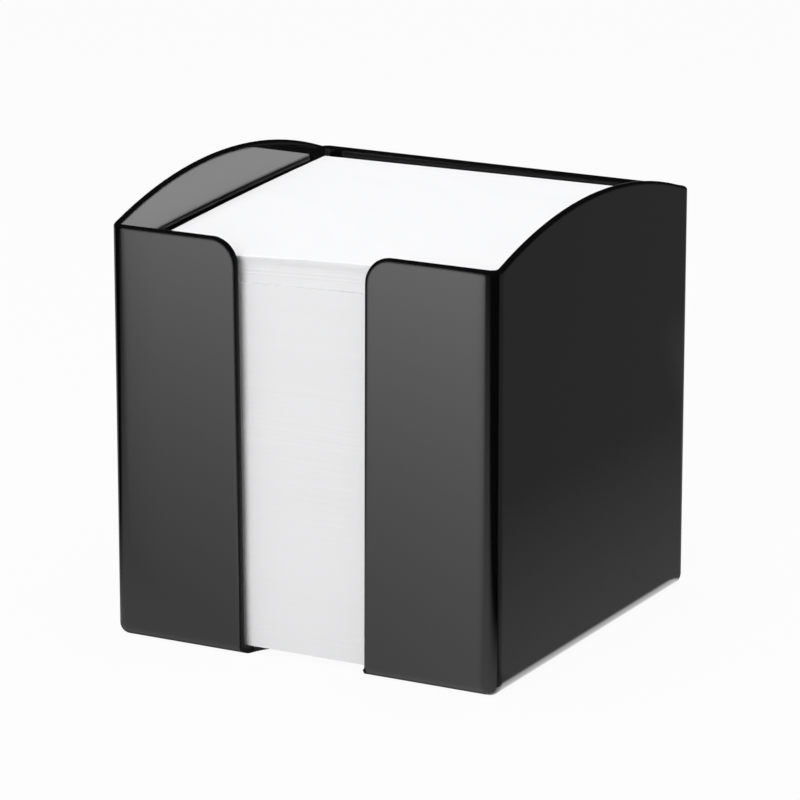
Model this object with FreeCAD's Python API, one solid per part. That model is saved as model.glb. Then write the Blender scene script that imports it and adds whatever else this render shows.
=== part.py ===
"""Desk note box: one moulded holder with a slotted front, filled with loose square note sheets.

Units are mm. +Z is up, -Y is the slotted front, +X is the right-hand side seen from the front.
The origin is the middle of the standing face.
"""
import FreeCAD, Part
import math
import os

V = FreeCAD.Vector

# ---------------------------------------------------------------- driving dimensions
SHEET_WIDTH = 90.0       # side of a note sheet: the box is built round it
SHEET_THICK = 0.1        # one sheet of ordinary writing paper
WELL_PLAY = 2.8          # between a centred sheet and each wall, at the floor
WALL_TOP = 1.6           # wall thickness at the rim
WALL_FOOT = 2.2          # wall thickness at the floor: the inside is drafted
FLOOR = 1.5              # floor thickness
RIM_HEIGHT = 98.5        # straight rim of the front and back walls
ARCH_RISE = 8.0          # crown of the arched side walls above that rim
WIDTH = SHEET_WIDTH + 2.0 * (WELL_PLAY + WALL_FOOT)   # outside, left to right
DEPTH = SHEET_WIDTH + 2.0 * (WELL_PLAY + WALL_FOOT)   # outside, front to back

# ---------------------------------------------------------------- holder details
EDGE_R = 2.8             # outside upright edges and the edge round the foot
INNER_R = 1.6            # upright inside corners
COVE_R = 0.8             # inside, where the walls meet the floor
RIM_R = 0.7              # rounding of the rim and of the slot's edges
BLEND_R = 2.5            # hollow blend where an arch leaves the straight rim
SLOT_TOP = 33.0          # width of the finger slot at the rim
SLOT_FOOT = 32.15        # width of the finger slot at the floor
PANEL_R = 6.5            # upper corner of each front panel
NOTCH_DEPTH = 14.0       # half-moon thumb notch in the floor, from the front face
NOTCH_STEP = 0.2         # floor left standing between the slot and the notch's mouth
RECESS = 0.4             # depth of the relieved panel in the standing face
RECESS_RIM = 9.0         # width of the rim it stands on
RECESS_R = 4.0           # corners of the relieved panel
GATE_R = 3.0             # dished gate mark in the middle of the standing face
GATE_DEPTH = 0.3
GATE_NUB_R = 0.9         # trimmed gate standing in the dish

# ---------------------------------------------------------------- paper details
LEFT_PLAY = 2.2          # the stack lies a little to the left of the well
FRONT_PLAY = 1.4         # and near the front wall
STACK_BELOW_RIM = 10.8   # from the rim down to the division under the upper bundle
UPPER_FRONT = 5.2        # upper bundle at its middle line, less its rise to the back
LOOSE_PACK = 1.1         # thickness of the ruffled pack on top
SLOPE_BACK = 0.038       # rise of the loose top of the stack, per mm front to back
SLOPE_SIDE = 0.018       # and per mm left to right
PAPER_X = LEFT_PLAY - WELL_PLAY
PAPER_Y = FRONT_PLAY - WELL_PLAY
STACK = RIM_HEIGHT - FLOOR - STACK_BELOW_RIM         # height of the squared-up stack

# Each bundle lies squared up in itself and a little off its neighbours:
# name, share of the stack below its top, shifts in x and y as shares of the play, turn in degrees.
BUNDLES = [
    ("sheets_1", 0.066, 0.06, 0.04, 0.10),
    ("sheets_2", 0.326, -0.04, -0.02, -0.08),
    ("sheets_3", 0.449, 0.08, 0.04, 0.12),
    ("sheets_4", 0.663, 0.00, 0.00, 0.00),
    ("sheets_5", 0.753, -0.08, 0.05, -0.12),
    ("sheets_6", 1.000, 0.04, 0.00, 0.05),
]
UPPER_BUNDLE = ("sheets_7", -0.22, 0.10, -0.20)
RUFFLED_PACK = ("sheets_8", -0.34, 0.035, 0.25)
TOP_SHEET = ("top_sheet", -0.18, 0.155, -0.45)


# ---------------------------------------------------------------- small helpers
def rounded_rect(half_x, half_y, r, z):
    """Closed wire of a rectangle with round corners, centred, at height z."""
    corners = [(1, 1, 0), (-1, 1, 90), (-1, -1, 180), (1, -1, 270)]
    arcs = []
    for sx, sy, start in corners:
        centre = V(sx * (half_x - r), sy * (half_y - r), z)
        arcs.append(Part.makeCircle(r, centre, V(0, 0, 1), start, start + 90))
    edges = []
    for arc, following in zip(arcs, arcs[1:] + arcs[:1]):
        edges.append(arc)
        edges.append(Part.makeLine(arc.Vertexes[-1].Point, following.Vertexes[0].Point))
    return Part.Wire(Part.sortEdges(edges)[0])


def prism(wire, direction):
    """Solid swept from a closed flat wire."""
    return Part.Face(wire).extrude(direction)


def middle_of(edge):
    """Point halfway along an edge."""
    return edge.valueAt((edge.FirstParameter + edge.LastParameter) / 2.0)


def edges_where(shape, test):
    """Edges of a shape whose middle point passes the test."""
    return [edge for edge in shape.Edges if edge.Length > 1e-6 and test(middle_of(edge))]


def is_sharp(shape, edge):
    """True where the two faces beside an edge meet at a clear angle."""
    faces = shape.ancestorsOfType(edge, Part.Face)
    if len(faces) != 2:
        return False
    point = middle_of(edge)
    normals = [face.normalAt(*face.Surface.parameter(point)) for face in faces]
    return normals[0].getAngle(normals[1]) > math.radians(40.0)


def wall_at(z):
    """Wall thickness at height z, from the draft of the inside."""
    return WALL_FOOT + (WALL_TOP - WALL_FOOT) * (z - FLOOR) / (RIM_HEIGHT - FLOOR)


# ---------------------------------------------------------------- the holder
def side_profile():
    """Side view of the box, in the plane x = 0: straight rims joined by a blended arch."""
    back = DEPTH / 2.0
    flat = back - WALL_TOP                               # the rim is level over the end walls
    radius = (flat ** 2 + ARCH_RISE ** 2) / (2.0 * ARCH_RISE) - BLEND_R
    centre = V(0, 0, RIM_HEIGHT + ARCH_RISE - radius)
    crown = V(0, 0, RIM_HEIGHT + ARCH_RISE)

    def blend(side):
        """Start, middle and end of the hollow blend that touches the rim and the arch."""
        hub = V(0, side * flat, RIM_HEIGHT + BLEND_R)
        on_rim = V(0, side * flat, RIM_HEIGHT)
        on_arch = centre + (hub - centre) * (radius / (radius + BLEND_R))
        middle = (on_rim + on_arch) * 0.5 - hub
        return on_rim, hub + middle.normalize() * BLEND_R, on_arch

    rim_b, mid_b, arch_b = blend(1)
    rim_f, mid_f, arch_f = blend(-1)
    foot_f, foot_b = V(0, -back, 0), V(0, back, 0)
    end_b, end_f = V(0, back, RIM_HEIGHT), V(0, -back, RIM_HEIGHT)
    return Part.Wire([
        Part.makeLine(foot_f, foot_b), Part.makeLine(foot_b, end_b), Part.makeLine(end_b, rim_b),
        Part.Arc(rim_b, mid_b, arch_b).toShape(),
        Part.Arc(arch_b, crown, arch_f).toShape(),
        Part.Arc(arch_f, mid_f, rim_f).toShape(),
        Part.makeLine(rim_f, end_f), Part.makeLine(end_f, foot_f)])


def full_block(low_edges):
    """Block of the outside size with round upright edges, and round edges below if asked."""
    tall = RIM_HEIGHT + ARCH_RISE + 10.0
    block = Part.makeBox(WIDTH, DEPTH, tall, V(-WIDTH / 2.0, -DEPTH / 2.0, 0))
    return block.makeFillet(EDGE_R, edges_where(
        block, lambda m: abs(m.z - tall / 2.0) < 1e-6 or (low_edges and abs(m.z) < 1e-6)))


def outer_block():
    """The outside of the box as a full block with its arched top."""
    profile = side_profile()
    profile.translate(V(-WIDTH / 2.0, 0, 0))
    return full_block(False).common(prism(profile, V(WIDTH, 0, 0)))


def cavity():
    """The drafted inside, open at the top, with round upright corners.

    The side walls stand upright above the panel corners, so the inner edge of an arch is a circle.
    """
    top = RIM_HEIGHT + ARCH_RISE + 5.0
    knee = RIM_HEIGHT - PANEL_R
    foot_x, head_x = (WIDTH / 2.0 - wall for wall in (WALL_FOOT, WALL_TOP))
    foot_y, head_y = (DEPTH / 2.0 - wall_at(z) for z in (FLOOR, top))
    right = [V(foot_x, -DEPTH, FLOOR), V(head_x, -DEPTH, knee), V(head_x, -DEPTH, top)]
    left = [V(-p.x, p.y, p.z) for p in reversed(right)]
    across = Part.makePolygon(right + left + right[:1])
    along = Part.makePolygon([V(-WIDTH, -foot_y, FLOOR), V(-WIDTH, foot_y, FLOOR),
                              V(-WIDTH, head_y, top), V(-WIDTH, -head_y, top),
                              V(-WIDTH, -foot_y, FLOOR)])
    well = prism(across, V(0, 2.0 * DEPTH, 0)).common(prism(along, V(2.0 * WIDTH, 0, 0)))
    near = 2.0 * WALL_FOOT
    return well.makeFillet(INNER_R, edges_where(
        well, lambda m: abs(m.x) > foot_x - near and abs(m.y) > foot_y - near
        and FLOOR + 1.0 < m.z < top - 1.0))


def slot_cutter():
    """Front view of the finger slot: leaning sides that open into the round panel corners."""
    foot = SLOT_FOOT / 2.0
    lean = (SLOT_TOP - SLOT_FOOT) / 2.0 / (RIM_HEIGHT - FLOOR)
    length = math.hypot(1.0, lean)
    y = -DEPTH / 2.0 - 1.0

    def side_x(z):
        return foot + lean * (z - FLOOR)

    # corner circle: PANEL_R outside the leaning side and PANEL_R below the rim
    centre_z = RIM_HEIGHT - PANEL_R
    centre_x = side_x(centre_z) + PANEL_R * length
    touch = V(centre_x - PANEL_R / length, y, centre_z + PANEL_R * lean / length)
    bend = math.radians(135.0)
    middle = V(centre_x + PANEL_R * math.cos(bend), y, centre_z + PANEL_R * math.sin(bend))
    start = V(centre_x, y, RIM_HEIGHT)
    high = RIM_HEIGHT + 5.0

    def flip(p):
        return V(-p.x, p.y, p.z)

    right = [Part.makeLine(V(foot, y, FLOOR), touch), Part.Arc(touch, middle, start).toShape(),
             Part.makeLine(start, V(start.x, y, high))]
    left = [Part.makeLine(V(-start.x, y, high), flip(start)),
            Part.Arc(flip(start), flip(middle), flip(touch)).toShape(),
            Part.makeLine(flip(touch), V(-foot, y, FLOOR))]
    across = Part.makeLine(V(start.x, y, high), V(-start.x, y, high))
    base = Part.makeLine(V(-foot, y, FLOOR), V(foot, y, FLOOR))
    return prism(Part.Wire(right + [across] + left + [base]), V(0, WALL_FOOT + 6.0, 0))


def notch_circle():
    """Radius of the half-moon notch, and how far its centre lies in front of the front face."""
    mouth = SLOT_FOOT / 2.0 - NOTCH_STEP
    radius = (mouth ** 2 + NOTCH_DEPTH ** 2) / (2.0 * NOTCH_DEPTH)
    return radius, radius - NOTCH_DEPTH


def notch_cutter(grow=0.0):
    """Half-moon thumb notch, through the floor behind the slot, larger all round by grow."""
    radius, ahead = notch_circle()
    tall = FLOOR + 2.0
    disc = Part.makeCylinder(radius + grow, tall, V(0, -DEPTH / 2.0 - ahead, -1.0))
    mouth = SLOT_FOOT / 2.0 - NOTCH_STEP + grow
    return disc.common(Part.makeBox(2.0 * mouth, 4.0 * DEPTH, tall, V(-mouth, -2.0 * DEPTH, -1.0)))


def standing_face_relief():
    """Shallow panel taken out of the standing face, with the dished gate mark in its middle."""
    half_x = WIDTH / 2.0 - RECESS_RIM
    half_y = DEPTH / 2.0 - RECESS_RIM
    panel = prism(rounded_rect(half_x, half_y, RECESS_R, -1.0), V(0, 0, 1.0 + RECESS))
    # the rim also runs round the thumb notch
    panel = panel.cut(notch_cutter(RECESS_RIM / 2.0))
    dish = Part.makeCylinder(GATE_R, 1.0 + RECESS + GATE_DEPTH, V(0, 0, -1.0))
    nub = Part.makeCylinder(GATE_NUB_R, GATE_DEPTH, V(0, 0, RECESS))
    return panel.fuse(dish).cut(nub)


def build_holder():
    """The one-piece moulding."""
    body = outer_block().cut(cavity()).cut(slot_cutter())
    # round the whole rim: the walls' tops, the panel corners and down the slot
    above_floor = edges_where(body, lambda m: m.z > FLOOR + 1.0)
    body = body.makeFillet(RIM_R, [e for e in above_floor if is_sharp(body, e)])
    # cove where the inside walls meet the floor, clear of the slot
    in_corner = edges_where(body, lambda m: abs(m.z - FLOOR) < 1e-3
                            and (abs(m.x) > SLOT_FOOT / 2.0 + RIM_R or m.y > 0))
    level = [e for e in in_corner if is_sharp(body, e)
             and all(abs(v.Point.z - FLOOR) < 1e-3 for v in e.Vertexes)]
    body = body.makeFillet(COVE_R, level)
    # the foot is rounded last, right across the slot
    body = body.common(full_block(True))
    return body.cut(notch_cutter()).cut(standing_face_relief())


# ---------------------------------------------------------------- the paper
def place(shape, dx, dy, turn):
    """Turn a centred bundle a little and put it in the box."""
    shape.rotate(V(0, 0, 0), V(0, 0, 1), turn)
    shape.translate(V(PAPER_X + dx * WELL_PLAY, PAPER_Y + dy * WELL_PLAY, 0))
    return shape


def square(z, height):
    """Square pack of sheets, centred, standing at height z."""
    return Part.makeBox(SHEET_WIDTH, SHEET_WIDTH, height, V(-SHEET_WIDTH / 2.0, -SHEET_WIDTH / 2.0, z))


def loose_plane(offset):
    """Height of the loose top of the stack at its middle, offset above the upper bundle."""
    return FLOOR + STACK + UPPER_FRONT + SLOPE_BACK * SHEET_WIDTH / 2.0 + offset


def tilted(shape):
    """Lean a flat pack, lying on z = 0, to the slope of the loose top."""
    shape.rotate(V(0, 0, 0), V(1, 0, 0), math.degrees(math.atan(SLOPE_BACK)))
    shape.rotate(V(0, 0, 0), V(0, 1, 0), -math.degrees(math.atan(SLOPE_SIDE)))
    return shape


def build_bundles():
    """The squared-up bundles, from the floor to the division under the upper bundle."""
    shapes = {}
    low = 0.0
    for name, share, dx, dy, turn in BUNDLES:
        high = share * STACK
        shapes[name] = place(square(FLOOR + low, high - low), dx, dy, turn)
        low = high
    return shapes


def build_loose_top():
    """The upper bundle, fanned out toward the back, with the loose pack and the top sheet on it."""
    base = FLOOR + STACK
    reach = 2.0 * SHEET_WIDTH
    slope = tilted(Part.makeBox(2.0 * reach, 2.0 * reach, SHEET_WIDTH, V(-reach, -reach, 0)))
    slope.translate(V(PAPER_X, PAPER_Y, loose_plane(0)))
    name, dx, dy, turn = UPPER_BUNDLE
    upper = place(square(base, SHEET_WIDTH / 2.0), dx, dy, turn).cut(slope)
    shapes = {name: upper}
    level = 0.0
    for (name, dx, dy, turn), thick in ((RUFFLED_PACK, LOOSE_PACK), (TOP_SHEET, SHEET_THICK)):
        sheet = square(level, thick)
        sheet.rotate(V(0, 0, 0), V(0, 0, 1), turn)
        sheet.translate(V(dx * WELL_PLAY, dy * WELL_PLAY, 0))
        sheet = tilted(sheet)
        sheet.translate(V(PAPER_X, PAPER_Y, loose_plane(0)))
        shapes[name] = sheet
        level += thick
    return shapes


# ---------------------------------------------------------------- write every piece
def main():
    os.makedirs("parts", exist_ok=True)
    shapes = {"holder": build_holder()}
    shapes.update(build_bundles())
    shapes.update(build_loose_top())
    for name, shape in shapes.items():
        shape.exportStep("parts/" + name + ".step")
        box = shape.BoundBox
        print("%-10s solids %d valid %s  x %.2f..%.2f  y %.2f..%.2f  z %.2f..%.2f  vol %.1f" % (
            name, len(shape.Solids), shape.isValid(), box.XMin, box.XMax, box.YMin, box.YMax,
            box.ZMin, box.ZMax, shape.Volume))


main()
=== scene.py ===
# %% [markdown]
# # A desk note box filled with loose sheets
# The box is one black plastic moulding. Its exact shape comes ready-made as solids, so this lesson
# loads them as a fixed frame and works on what solids can't give: the gloss, the single sheets of
# paper, the studio and the camera. All lengths are in metres, and MM is one millimetre.

# %% Load the frame
import math
import random
import bmesh
import bpy
from mathutils import Matrix, Vector


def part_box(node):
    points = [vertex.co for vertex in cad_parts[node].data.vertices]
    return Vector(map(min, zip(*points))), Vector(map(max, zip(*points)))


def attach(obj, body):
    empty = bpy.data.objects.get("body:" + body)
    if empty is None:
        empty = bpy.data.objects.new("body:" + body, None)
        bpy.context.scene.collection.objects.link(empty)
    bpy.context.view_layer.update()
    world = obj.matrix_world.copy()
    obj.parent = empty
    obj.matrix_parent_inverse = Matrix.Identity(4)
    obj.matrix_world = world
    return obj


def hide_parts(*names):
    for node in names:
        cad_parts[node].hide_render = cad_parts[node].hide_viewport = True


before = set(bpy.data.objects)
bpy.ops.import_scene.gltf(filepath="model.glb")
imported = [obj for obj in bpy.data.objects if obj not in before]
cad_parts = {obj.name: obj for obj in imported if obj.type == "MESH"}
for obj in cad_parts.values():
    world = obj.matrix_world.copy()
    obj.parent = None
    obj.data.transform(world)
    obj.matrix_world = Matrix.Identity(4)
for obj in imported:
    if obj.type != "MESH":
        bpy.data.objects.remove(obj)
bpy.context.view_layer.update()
MM = 0.001

# %% [markdown]
# ## The camera
# The box is seen from the right of its slotted front and a little from above. A long lens far away
# keeps the upright edges nearly parallel, as in a product picture. Three angles could turn the
# camera, but a quaternion that points its -Z axis at the target is simpler and keeps it upright.

# %% Camera
TARGET = Vector((-1.424, 0.0, 51.133)) * MM
AZIMUTH, ELEVATION = math.radians(28.397), math.radians(15.144)
DISTANCE = 1.074768
FOCAL_LENGTH, SENSOR_WIDTH = 205.28, 36.0  # in millimetres, as Blender wants them
NEAREST, FARTHEST = 0.05, 50.0


def put_in_scene(name, data):
    """A new object that shows this camera, mesh or lamp."""
    made = bpy.data.objects.new(name, data)
    bpy.context.scene.collection.objects.link(made)
    return made


def look_along(thing, direction):
    """Turns a camera or a lamp, which both look along their own -Z axis."""
    thing.rotation_mode = "QUATERNION"
    thing.rotation_quaternion = direction.to_track_quat("-Z", "Y")


toward_camera = Vector((math.sin(AZIMUTH) * math.cos(ELEVATION),
                        -math.cos(AZIMUTH) * math.cos(ELEVATION), math.sin(ELEVATION)))
camera_data = bpy.data.cameras.new("camera")
camera_data.lens, camera_data.sensor_width = FOCAL_LENGTH, SENSOR_WIDTH
camera_data.clip_start, camera_data.clip_end = NEAREST, FARTHEST
camera = put_in_scene("camera", camera_data)
camera.location = TARGET + toward_camera * DISTANCE
look_along(camera, -toward_camera)
bpy.context.scene.camera = camera
print("camera stands at", [round(v, 3) for v in camera.location])

# %% [markdown]
# ## A start for every finish
# Every finish here is a Principled shader. Numbers that are the same all over sit on its own
# sockets, and a few texture nodes vary the rest. They read Object coordinates, so a pattern keeps
# its real size. Adding and joining nodes takes many lines, so a small class does both in one call.

# %% A finish and its nodes
class Finish:
    """A material or a world, its shader, and short ways to add and feed nodes."""

    def __init__(self, owner, shader="Principled BSDF"):
        owner.use_nodes = True
        self.owner = owner
        self.tree = owner.node_tree
        self.shader = self.tree.nodes[shader]

    def feed(self, node, inputs):
        """Puts a number on each input, or a link where another node's output is given."""
        for name, value in inputs.items():
            if isinstance(value, bpy.types.NodeSocket):
                self.tree.links.new(value, node.inputs[name])
            else:
                node.inputs[name].default_value = value

    def node(self, kind, inputs=None, **settings):
        """Adds a node with its settings and with what goes into it."""
        made = self.tree.nodes.new(kind)
        for name, value in settings.items():
            setattr(made, name, value)
        self.feed(made, inputs or {})
        return made


plastic = Finish(bpy.data.materials.new("gloss_black_plastic"))
print("started", plastic.owner.name, "with the shader", plastic.shader.name)

# %% [markdown]
# ## Black moulded plastic
# The box is polished black styrene: nearly no colour of its own, and a clear mirror image of the
# paper and the table. One glossy layer at the usual IOR of 1.5 would mirror too little of them. A
# clear coat over the base, both with a high IOR, gives the deep shine without a metal look.

# %% Gloss
PLASTIC_IOR = 1.8
plastic.feed(plastic.shader, {"Base Color": (0.003, 0.003, 0.0033, 1), "IOR": PLASTIC_IOR,
                              "Coat Roughness": 0.01, "Coat IOR": PLASTIC_IOR})
plastic_place = plastic.node("ShaderNodeTexCoord").outputs["Object"]
print("the plastic bends light", PLASTIC_IOR, "times as much as air")

# %% [markdown]
# ## A surface that isn't quite even
# Black plastic is easily made too flat. On a real moulding the polish varies a little, shrinkage
# bends the reflections in very shallow waves, and no edge is quite sharp. Noise drives the
# roughness and a bump. Rounding every edge further would take many faces, so a Bevel node softens
# the edges for the light alone and leaves the mesh as it is.

# %% Uneven polish, shallow waves and soft edges
EDGE_RADIUS, WAVE_DEPTH = 1.3 * MM, 0.02 * MM
MOST_POLISHED, LEAST_POLISHED = 0.02, 0.06
cloud = plastic.node("ShaderNodeTexNoise",
                     {"Vector": plastic_place, "Scale": 60.0, "Detail": 4.0})
polish = plastic.node("ShaderNodeMapRange", {"Value": cloud.outputs["Fac"],
                                             "To Min": MOST_POLISHED, "To Max": LEAST_POLISHED})
wave = plastic.node("ShaderNodeTexNoise",
                    {"Vector": plastic_place, "Scale": 35.0, "Detail": 1.0})
edge = plastic.node("ShaderNodeBevel", {"Radius": EDGE_RADIUS}, samples=8)
sink = plastic.node("ShaderNodeBump", {"Height": wave.outputs["Fac"], "Strength": 0.6,
                                       "Distance": WAVE_DEPTH, "Normal": edge.outputs["Normal"]})
plastic.feed(plastic.shader, {"Normal": sink.outputs["Normal"],
                              "Coat Normal": sink.outputs["Normal"]})
print("edges look rounded to", round(EDGE_RADIUS / MM, 2), "mm")

# %% [markdown]
# ## The duller faces of the slot
# The narrow faces on both sides of the front slot are left as the mould's core made them, without
# a polish. They could be given a second material, but the moulding is one mesh that isn't cut up.
# So a mask is made from the place of each point: inside the slot's width and inside the front
# wall's thickness. There the clear coat ends and the base is rough.

# %% Dull slot faces
SLOT_HEIGHT, HALF_FOOT, HALF_TOP = 95.0 * MM, 16.6 * MM, 17.3 * MM
WALL_MIDDLE, HALF_WALL = -48.0 * MM, 1.93 * MM
DULL = 0.9
point = plastic.node("ShaderNodeSeparateXYZ", {0: plastic_place}).outputs
half_slot = plastic.node("ShaderNodeMapRange", {
    "Value": point["Z"], "From Min": 0.0, "From Max": SLOT_HEIGHT,
    "To Min": HALF_FOOT, "To Max": HALF_TOP}).outputs["Result"]
in_slot = plastic.node("ShaderNodeMath", {0: point["X"], 1: 0.0, 2: half_slot},
                       operation="COMPARE").outputs[0]
in_wall = plastic.node("ShaderNodeMath", {0: point["Y"], 1: WALL_MIDDLE, 2: HALF_WALL},
                       operation="COMPARE").outputs[0]
core = plastic.node("ShaderNodeMath", {0: in_slot, 1: in_wall}, operation="MULTIPLY").outputs[0]
rough = plastic.node("ShaderNodeMix", {"Factor": core, "A": polish.outputs["Result"], "B": DULL},
                     data_type="FLOAT")
coat = plastic.node("ShaderNodeMapRange", {"Value": core, "To Min": 1.0, "To Max": 0.0})
plastic.feed(plastic.shader, {"Roughness": rough.outputs["Result"],
                              "Coat Weight": coat.outputs["Result"]})
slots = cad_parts["holder"].material_slots
for slot in slots:
    slot.material = plastic.owner
print("the plastic has", len(plastic.tree.nodes), "nodes, on", len(slots), "slot of the box")

# %% [markdown]
# ## Paper
# Writing paper is matt white, with a felt of fibres too fine to see one by one. On the side of a
# stack each leaf takes the light a little differently. A noise that is stretched flat, slow
# sideways and quick upwards, gives every few leaves their own shade of white.

# %% Paper
DARKER_LEAF, LIGHTER_LEAF = (0.853, 0.853, 0.863, 1), (0.867, 0.867, 0.877, 1)
LEAF_CHANGES = (25, 25, 3500)  # changes of shade in a metre: across, along, upwards
FIBRE_DEPTH = 0.02 * MM
paper = Finish(bpy.data.materials.new("white_paper"))
paper.feed(paper.shader, {"Roughness": 0.9, "Specular IOR Level": 0.25})
paper_place = paper.node("ShaderNodeTexCoord").outputs["Object"]
flat = paper.node("ShaderNodeMapping", {"Vector": paper_place, "Scale": LEAF_CHANGES})
leaves = paper.node("ShaderNodeTexNoise",
                    {"Vector": flat.outputs["Vector"], "Scale": 1.0, "Detail": 2.0})
tone = paper.node("ShaderNodeValToRGB", {"Fac": leaves.outputs["Fac"]})
darker, lighter = tone.color_ramp.elements
darker.position, darker.color = 0.3, DARKER_LEAF
lighter.position, lighter.color = 0.7, LIGHTER_LEAF
fibre = paper.node("ShaderNodeTexNoise", {"Vector": paper_place, "Scale": 2500.0, "Detail": 3.0})
felt = paper.node("ShaderNodeBump", {"Height": fibre.outputs["Fac"], "Strength": 0.15,
                                     "Distance": FIBRE_DEPTH})
paper.feed(paper.shader, {"Base Color": tone.outputs["Color"], "Normal": felt.outputs["Normal"]})
print("paper has", len(paper.tree.nodes), "nodes")

# %% [markdown]
# ## A stack of single leaves
# Loose sheets never stand in one perfect block: the edge of each lies a hair in front of or behind
# its neighbour's, and that makes the fine lines on the side of a stack. Lines drawn on a block
# would not catch the light, so every sheet is its own leaf, 0.1 mm thick. The leaves of a bundle
# drift a little as they go up, and the pressed bundles lean smoothly into one another.

# %% Where each leaf lies
SHEET, SIDE = 0.1 * MM, 90 * MM
DRIFT_KEPT = 0.9
PRESSED = ["sheets_%d" % number for number in range(1, 7)]


def node_box(name):
    low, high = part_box(name)
    return Vector(low), Vector(high)


MIDDLES = [(low + high) / 2 for low, high in map(node_box, PRESSED)]


def leaning(height):
    """The middle of the pressed stack at a height: the bundles' middles, joined by lines."""
    for below, above in zip(MIDDLES, MIDDLES[1:]):
        if height < above.z:
            share = max(0.0, (height - below.z) / (above.z - below.z))
            return below.lerp(above, share)
    return MIDDLES[-1]


def drifting_places(name, count, spread):
    """Where each leaf of a bundle lies: its middle plus a slow random drift, spread in mm."""
    low, high = node_box(name)
    chance = random.Random(name)
    drift = Vector((0, 0, 0))
    for index in range(count):
        across = chance.uniform(-spread, spread) * MM
        along = chance.uniform(-spread, spread) * MM
        drift = drift * DRIFT_KEPT + Vector((across, along, 0))
        height = low.z + (index + 0.5) * (high.z - low.z) / count
        middle = leaning(height) if name in PRESSED else (low + high) / 2
        yield Vector((middle.x, middle.y, height)) + drift


print("the pressed stack leans", round((MIDDLES[-1] - MIDDLES[0]).xy.length / MM, 2), "mm")

# %% [markdown]
# ## The squared-up bundles
# The five lower bundles are pressed flat by the weight above, so a leaf is a stretched cube with
# six faces. Each bundle becomes one piece that stands for its solid.

# %% Flat bundles
PRESSED_SPREAD = 0.012  # mm that each leaf may slip on the one below


def paper_piece(name, bm, body):
    """Turns a bmesh into a piece of paper that rides on a body and stands for a solid."""
    mesh = bpy.data.meshes.new(name + "_paper")
    bm.to_mesh(mesh)
    bm.free()
    mesh.materials.append(paper.owner)
    piece = put_in_scene(name + "_paper", mesh)
    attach(piece, body)
    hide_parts(name)
    print(piece.name, "has", len(mesh.polygons), "faces")


def flat_bundle(name):
    low, high = node_box(name)
    count = round((high.z - low.z) / SHEET)
    thick = (high.z - low.z) / count
    bm = bmesh.new()
    for place in drifting_places(name, count, PRESSED_SPREAD):
        bmesh.ops.create_cube(bm, size=1.0, matrix=Matrix.Translation(place)
                              @ Matrix.Diagonal((SIDE, SIDE, thick, 1)))
    paper_piece(name, bm, "paper_stack")


for name in PRESSED[:-1]:
    flat_bundle(name)

# %% [markdown]
# ## How the loose top lies
# Nearer the top the pile is no longer pressed flat. It rises to the back, sinks at the front left
# corner and swells a little where fingers have pulled sheets out, and here and there a leaf stands
# off the one below. Bending each leaf by hand would let them cut through each other. Instead one
# function says where a point of a flat pile lies in the loose one, and every leaf follows it.

# %% The shape of the loose pile
LOOSE_FROM = node_box("sheets_6")[0].z
FAN_FROM = node_box("sheets_7")[0].z
TOP = sum(corner.z for corner in node_box("top_sheet")) / 2
FAN_RISE = 1.81
LIFT_FRONT, LIFT_FADE = -0.046, 0.010
A_HAIR = 0.001 * MM
# A lift: from this height up, and in mm its middle, its half width and its rise.
LIFTS = ((FAN_FROM, -13, 4, 0.055), (FAN_FROM, -1, 6, 0.035), (FAN_FROM, 10, 4, 0.065),
         (TOP - 2.5 * MM, -1.5, 1.5, 0.05), (TOP - 1.9 * MM, -1.5, 6.0, 0.06),
         (TOP - 1.1 * MM, -9.0, 4.0, 0.03))


def lift_at(point):
    """How far the leaves above stand off here, most of all at the front edge."""
    depth = math.exp(-max(0.0, point.y - LIFT_FRONT) / LIFT_FADE)
    return sum(rise * MM * depth * math.exp(-((point.x / MM - middle) / half) ** 2)
               for start, middle, half, rise in LIFTS if point.z > start - A_HAIR)


def share_of_way(height, start):
    """0 at the start and 1 at the top of the pile."""
    return min(1.0, max(0.0, (height - start) / (TOP - start)))


def lie(point, lift):
    """A point of a flat pile, moved to where it lies in the loose one. The numbers are mm."""
    x, y = point.x / (SIDE / 2), point.y / (SIDE / 2)
    tilt = -0.10 + 1.16 * x - 0.78 * x * y                # up to the right, less at the back
    swell = 0.5 * (1 - x * x) * (1 - y)                   # most in the middle of the front
    curl = 0.5 * max(0.0, -x) ** 3 * max(0.0, 1 - y * y)  # most in the middle of the left edge
    fan = FAN_RISE * y                                    # up to the back
    rise = (share_of_way(point.z, LOOSE_FROM) * (tilt + swell + curl)
            + share_of_way(point.z, FAN_FROM) * fan)
    return Vector((point.x, point.y, point.z + rise * MM + lift))


print("the pile is loose from", round(LOOSE_FROM / MM, 1), "to", round(TOP / MM, 1), "mm")

# %% [markdown]
# ## A leaf that bends
# A leaf that bends needs points along its sides. A grid that faces up is its upper side. Each point
# gets a partner for the underside. The faces there run the other way round from the same first
# corner, so both sides fold along the same diagonals, and one face closes each edge of the border.
# They are made in a fixed order, so each run writes the same mesh. Both sides then go to their
# height in the pile, and both take the lift of the underside, so the leaf keeps its thickness where
# it stands off. A trial leaf is measured: its volume is right only where it is closed and all its
# faces point outwards.

# %% One bent leaf
LEAF_ROWS = 6


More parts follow.
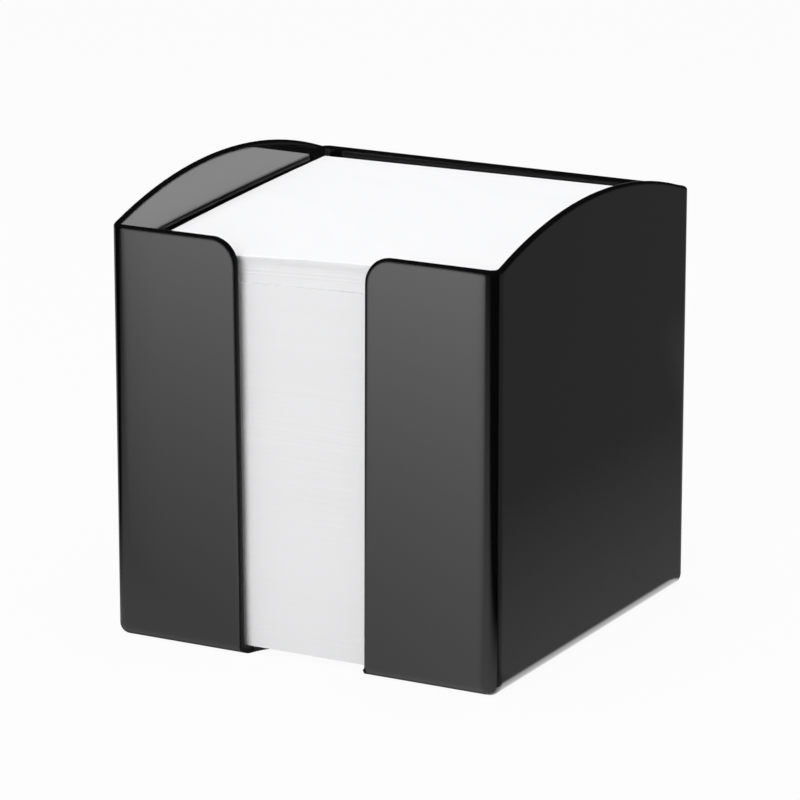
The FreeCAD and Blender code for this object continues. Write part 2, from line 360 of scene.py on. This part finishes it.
def add_leaf(bm, place, turn, low, high, columns):
    """One leaf from height low to high of the flat pile, bent to the shape of the loose one."""
    before = len(bm.faces)
    over = bmesh.ops.create_grid(bm, x_segments=columns, y_segments=LEAF_ROWS, size=SIDE / 2,
                                 matrix=Matrix.Translation(place) @ Matrix.Rotation(turn, 4, "Z")
                                 )["verts"]
    faces = list(bm.faces)[before:]
    border = [(loop.link_loop_next.vert, loop.vert)
              for face in faces for loop in face.loops if loop.edge.is_boundary]
    below = {vert: bm.verts.new(vert.co) for vert in over}
    for face in faces:
        corners = [below[vert] for vert in face.verts]
        bm.faces.new(corners[:1] + corners[:0:-1])
    for start, end in border:
        bm.faces.new((start, end, below[end], below[start]))
    for verts, height in ((over, high), (below.values(), low)):
        for vert in verts:
            lift = lift_at(Vector((vert.co.x, vert.co.y, low)))
            vert.co = lie(Vector((vert.co.x, vert.co.y, height)), lift)


trial = bmesh.new()
add_leaf(trial, Vector((0, 0, 0)), 0.0, TOP - SHEET, TOP, 6)
heights = [vert.co.z for vert in trial.verts]
print("the top leaf climbs", round((max(heights) - min(heights)) / MM, 2), "mm in all")
print("and holds", round(trial.calc_volume(signed=True) / MM ** 3), "cubic mm, where a flat one",
      "holds", round(SIDE * SIDE * SHEET / MM ** 3))
trial.free()

# %% [markdown]
# ## The loose bundles and the top sheet
# The last bundles are looser the higher they lie: their leaves drift more and turn a little, each
# by its own random angle. The top sheet is a piece of its own, because it can be taken away alone.

# %% Loose bundles
UPPER_LEAVES = 12


def loose_bundle(name, body, low, high, spread, turn_spread, columns=30):
    """A bundle between two heights of the pile. The leaves turn by up to turn_spread degrees."""
    count = max(1, round((high - low) / SHEET))
    thick = (high - low) / count
    chance = random.Random(name + "_turn")
    bm = bmesh.new()
    for index, place in enumerate(drifting_places(name, count, spread)):
        turn = math.radians(chance.uniform(-turn_spread, turn_spread))
        add_leaf(bm, place, turn, low + index * thick, low + (index + 1) * thick, columns)
    paper_piece(name, bm, body)


UPPER_FROM = TOP - UPPER_LEAVES * SHEET
loose_bundle("sheets_6", "paper_stack", LOOSE_FROM, FAN_FROM, PRESSED_SPREAD, 0.0, columns=6)
loose_bundle("sheets_7", "upper_bundle", FAN_FROM, UPPER_FROM, spread=0.03, turn_spread=0.02)
loose_bundle("sheets_8", "upper_bundle", UPPER_FROM, TOP - SHEET, spread=0.08, turn_spread=0.12)
loose_bundle("top_sheet", "top_sheet", TOP - SHEET, TOP, spread=0.0, turn_spread=0.0)

# %% [markdown]
# ## The table
# Black gloss shows only what it mirrors, so the table does more for the look of the box than the
# lamps do. White cards round the box would be one way. Here the table itself glows with painted
# light and dark areas that only the gloss sees, and these are painted reflections on the box. They
# are laid out in metres from the middle of the box, and each border is a ramp: the painted light
# fades from one level to another between two places.

# %% Measuring on the table
RISING, FALLING = (0, 1), (1, 0)
table_look = Finish(bpy.data.materials.new("white_table_with_painted_glow"))
table_look.feed(table_look.shader, {"Base Color": (0.5, 0.5, 0.5, 1), "Roughness": 0.8,
                                    "Specular IOR Level": 0.0})
table_place = table_look.node("ShaderNodeTexCoord").outputs["Object"]
spot = table_look.node("ShaderNodeSeparateXYZ", {0: table_place}).outputs
across, along = spot["X"], spot["Y"]


def ramp(value, border, levels, kind="SMOOTHSTEP"):
    """Fades from the first level to the second while the value crosses the border."""
    names = ("From Min", "From Max", "To Min", "To Max")
    inputs = dict(zip(names, (*border, *levels)), Value=value)
    made = table_look.node("ShaderNodeMapRange", inputs, interpolation_type=kind)
    return made.outputs["Result"]


def calc(operation, *values):
    """Joins two or more outputs or numbers, one after the other."""
    total = values[0]
    for value in values[1:]:
        made = table_look.node("ShaderNodeMath", {0: total, 1: value}, operation=operation)
        total = made.outputs[0]
    return total


# %% [markdown]
# ## The painted patch of light
# The front panels mirror the table before them. A painted patch of light as wide as the box,
# brighter farther out, gives them their soft grey as a painted reflection. Its sides run apart with
# distance like those of a fan, so that their mirror image stays in line with the panels' edges. So
# the patch is measured in lanes that all start at the front of the box and run apart.

# %% Lanes
HALF_BOX = 0.05
FRONT = -HALF_BOX
FAN_CENTRE, FAN_REACH = 0.492, 0.8627  # across, and how far behind the box's front
ahead = calc("MAXIMUM", calc("SUBTRACT", FRONT, along), 0.0)
widening = calc("ADD", calc("MULTIPLY", ahead, 1 / FAN_REACH), 1.0)
lane = calc("ADD", calc("DIVIDE", calc("SUBTRACT", across, FAN_CENTRE), widening), FAN_CENTRE)
print("lanes are twice as wide", FAN_REACH, "m before the box")

# %% Painted patch of light
PATCH_LEFT, PATCH_RIGHT = (-0.0480, -0.0453), (0.0450, 0.0496)
LEVELS = (0.225, 0.37)
SHADED_LEFT, LEFT_SHADE = (-HALF_BOX, -0.036), (0.88, 1)
FAR, FAR_CURVE, FAR_MOST, FAR_LEVEL = 0.34, 1.3, 1.1, 0.40
rise = calc("MINIMUM", calc("POWER", calc("MULTIPLY", ahead, 1 / FAR), FAR_CURVE), FAR_MOST)
level = calc("ADD", ramp(lane, (-HALF_BOX, HALF_BOX), LEVELS, "LINEAR"),
             calc("MULTIPLY", rise, FAR_LEVEL))
# the painted light of the patch, which the front panels mirror as their grey
painted_patch = calc("MULTIPLY", ramp(lane, PATCH_LEFT, RISING), ramp(lane, PATCH_RIGHT, FALLING),
             level, ramp(lane, SHADED_LEFT, LEFT_SHADE))
print("the patch grows from", LEVELS, "by", FAR_LEVEL, "at", FAR, "m")

# %% [markdown]
# ## Round the patch
# Beyond the patch the painted glow of the table is dimmer, and under the front of the box a painted
# shade darkens it. A painted halo of light that fades outwards does the first. One ramp paints the
# shade at the foot, though not left of the box, where the left wall would mirror its hard border,
# and another ends the painted area towards the back.

# %% Painted halo and painted shade at the foot
HALO_ALONG, HALO_LEVELS = (-0.45, FRONT), (0.033, 0.28)
HALO_LEFT, HALO_RIGHT = (-0.14, -0.045), (0.045, 0.115)
FOOT, FOOT_SHADE = (FRONT, -0.0485), (1, 0.3)
LEFT_OF_BOX, UNDER_BOX = (-0.0600, -0.0510), (0.0, 0.045)
painted_halo = calc("MULTIPLY", ramp(along, HALO_ALONG, HALO_LEVELS, "LINEAR"),
            ramp(across, HALO_RIGHT, FALLING), ramp(lane, HALO_LEFT, RISING))
# painted shade on the table under the front of the box, seen only in the gloss
painted_foot_shade = calc("MAXIMUM", ramp(along, FOOT, FOOT_SHADE), ramp(across, LEFT_OF_BOX, FALLING))
front = calc("MULTIPLY", calc("MAXIMUM", painted_patch, painted_halo), painted_foot_shade, ramp(along, UNDER_BOX, FALLING))
print("the halo reaches", -HALO_ALONG[0], "m ahead")

# %% [markdown]
# ## What the other walls mirror
# The right wall is darker than the front. It mirrors a dim painted glow on the table with a
# slightly brighter painted area farther back, whose border runs at a slant, and a narrow painted
# strip of light where the table meets its foot, which shows as a painted highlight along the wall's
# lower edge. The back mirrors one plain dim painted area.

# %% Painted glow beside and behind the box
SIDE_ACROSS, SIDE_LEVELS, SIDE_START = (0.053, 0.12), (0.14, 0.07), (FRONT, -0.030)
BRIM_SLANT, BRIM_START, BRIM_GAIN, BRIM_END = 1.85, (0.062, 0.080), (0, 0.5), (0.135, 0.175)
slanted = calc("SUBTRACT", along, calc("MULTIPLY", calc("SUBTRACT", across, HALF_BOX), BRIM_SLANT))
painted_brim_glow = calc("MULTIPLY", ramp(slanted, BRIM_START, BRIM_GAIN), ramp(across, BRIM_END, FALLING))
painted_side_glow = calc("MULTIPLY", ramp(across, SIDE_ACROSS, SIDE_LEVELS, "LINEAR"),
            ramp(along, SIDE_START, RISING), calc("ADD", painted_brim_glow, 1.0))

STRIP_LEFT, STRIP_RIGHT = (0.046, 0.047), (0.0520, 0.0550)
STRIP_START, STRIP_END = (FRONT, -0.0470), (0.0480, 0.0520)
# a painted strip of light that the right wall's lower edge mirrors as a painted highlight
painted_highlight_strip = calc("MULTIPLY", ramp(across, STRIP_RIGHT, FALLING), ramp(across, STRIP_LEFT, RISING),
             ramp(along, STRIP_START, RISING), ramp(along, STRIP_END, FALLING))

BEHIND_START, BEHIND_LEVELS, BEHIND_RIGHT = (0.045, 0.060), (0, 0.11), (HALF_BOX, 0.100)
painted_glow_behind = calc("MULTIPLY", ramp(along, BEHIND_START, BEHIND_LEVELS),
              ramp(across, BEHIND_RIGHT, FALLING))
# all the painted light of the table that the gloss mirrors
painted_reflections = calc("MAXIMUM", front, painted_glow_behind, painted_side_glow, painted_highlight_strip)
print("the table's pattern takes", len(table_look.tree.nodes), "nodes")

# %% [markdown]
# ## Which light sees which table
# The camera sees plain white with a little of the matt surface in it, which keeps the shadow of
# the box. The gloss sees the pattern of painted light and shade, a glow though the table is no
# lamp.
# All other light meets a matt grey, so the table doesn't light the box too strongly from below. The
# table lies a hair under the box, because two faces in one plane flicker.

# %% The table
SHADOW_SHARE, TABLE_HALF, TABLE_DROP = 0.05, 3.0, 0.05 * MM
ray = table_look.node("ShaderNodeLightPath").outputs
matt = table_look.shader.outputs[0]
white = table_look.node("ShaderNodeEmission").outputs[0]
# painted light and shade that only the gloss sees; it glows though the table is no lamp
pattern = table_look.node("ShaderNodeEmission", {"Strength": painted_reflections}).outputs[0]
seen = table_look.node("ShaderNodeMixShader", {0: SHADOW_SHARE, 1: white, 2: matt})
by_camera = table_look.node("ShaderNodeMixShader",
                            {0: ray["Is Camera Ray"], 1: matt, 2: seen.outputs[0]})
by_gloss = table_look.node("ShaderNodeMixShader",
                           {0: ray["Is Glossy Ray"], 1: by_camera.outputs[0], 2: pattern})
table_look.feed(table_look.tree.nodes["Material Output"], {0: by_gloss.outputs[0]})

bm = bmesh.new()
bmesh.ops.create_grid(bm, x_segments=1, y_segments=1, size=TABLE_HALF,
                      matrix=Matrix.Translation((0, 0, -TABLE_DROP)))
mesh = bpy.data.meshes.new("table")
bm.to_mesh(mesh)
bm.free()
mesh.materials.append(table_look.owner)
table = put_in_scene("table", mesh)
print("the table is", 2 * TABLE_HALF, "m wide")

# %% [markdown]
# ## The room
# The room behind the table is white to the camera. A white room in the gloss would turn the black
# box grey, and on the paper it would wash out the shadows between the leaves. So the gloss sees
# the room almost black, and matt surfaces get only a little of its light.

# %% Room
ROOM_IN_GLOSS, ROOM_ON_MATT = 0.006, 0.15
room = Finish(bpy.data.worlds.new("studio"), "Background")
bpy.context.scene.world = room.owner
ray = room.node("ShaderNodeLightPath").outputs
less = room.node("ShaderNodeMath", {0: ray["Is Glossy Ray"], 1: ROOM_IN_GLOSS - 1, 2: 1.0},
                 operation="MULTIPLY_ADD").outputs[0]
least = room.node("ShaderNodeMath", {0: ray["Is Diffuse Ray"], 1: ROOM_ON_MATT - 1, 2: less},
                  operation="MULTIPLY_ADD").outputs[0]
room.feed(room.shader, {"Color": (1, 1, 1, 1), "Strength": least})
print("the room gives matt surfaces", ROOM_ON_MATT, "of its light")

# %% [markdown]
# ## The lamps
# One large soft lamp hangs above and a second one stands in front, so that the top of the paper is
# the brightest and its front only a little darker. Bare lamps would leave hard white squares on
# the gloss, so they are hidden from it. The Standard view shows colours about as they are written.

# %% Lamps
AIM = Vector((0, 0, 0.05))


def soft_lamp(name, place, size, watts):
    data = bpy.data.lights.new(name, "AREA")
    data.shape, data.size, data.energy = "SQUARE", size, watts
    lamp = put_in_scene(name, data)
    lamp.location = place
    look_along(lamp, AIM - Vector(place))
    lamp.visible_glossy = False
    print("lamp", name, "gives", watts, "W from", size, "m")


soft_lamp("overhead", (0.05, -0.05, 1.4), 1.2, 17.0)
soft_lamp("front", (0.05, -1.4, 0.6), 0.9, 13.6)
bpy.context.scene.view_settings.view_transform = "Standard"
